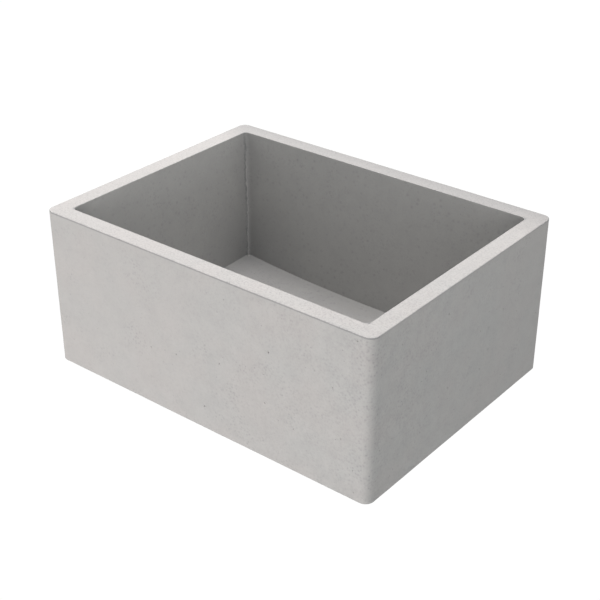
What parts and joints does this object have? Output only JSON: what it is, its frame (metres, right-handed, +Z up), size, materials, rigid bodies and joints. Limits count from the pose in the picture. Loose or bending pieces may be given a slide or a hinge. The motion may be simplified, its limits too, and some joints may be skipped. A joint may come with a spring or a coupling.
{
  "type": "farmhouse sink",
  "caption": "Rectangular cast-concrete farmhouse sink with thick walls and a dished floor, a lift-out basket strainer with a sliding stopper, and a drain tailpiece below.",
  "frame": {"origin": "centre of the basin's underside, on the drain axis", "axes": "+X to the right along the long front, +Y to the back, +Z up"},
  "size_m": [0.61, 0.457, 0.4331],
  "materials": {
    "cast_concrete": "matte, cast, fine pinholes and soft clouding",
    "bedding_putty": "matte, soft",
    "satin_steel": "satin, turned",
    "bright_steel": "bright, turned",
    "black_rubber": "matte, moulded",
    "fibre_board": "pressed fibre",
    "cast_brass": "dull, as cast",
    "white_poly": "moulded",
    "chromed_tube": "polished plate",
    "chromed_knob": "polished plate"
  },
  "bodies": {
    "sink": {"basin": "cast_concrete", "flange_seal": "bedding_putty", "strainer_body": "satin_steel", "rubber_gasket": "black_rubber", "friction_ring": "fibre_board", "locknut": "cast_brass", "tailpiece_washer": "white_poly", "tailpiece": "chromed_tube", "coupling_nut": "chromed_tube"},
    "basket": {"basket_cup": "satin_steel", "basket_sleeve": "bright_steel", "sleeve_nut": "bright_steel"},
    "stopper": {"stopper_post": "bright_steel", "post_seal_ring": "black_rubber", "stopper_knob": "chromed_knob", "stopper_disc": "bright_steel", "rubber_stopper": "black_rubber", "stopper_nut": "cast_brass"}
  },
  "joints": [
    {"name": "basket_lift", "type": "slide", "parent": "sink", "child": "basket", "axis": [0, 0, 1], "range_m": [0, 0.32]},
    {"name": "stopper_slide", "type": "slide", "parent": "basket", "child": "stopper", "axis": [0, 0, 1], "range_m": [0, 0.008]}
  ]
}
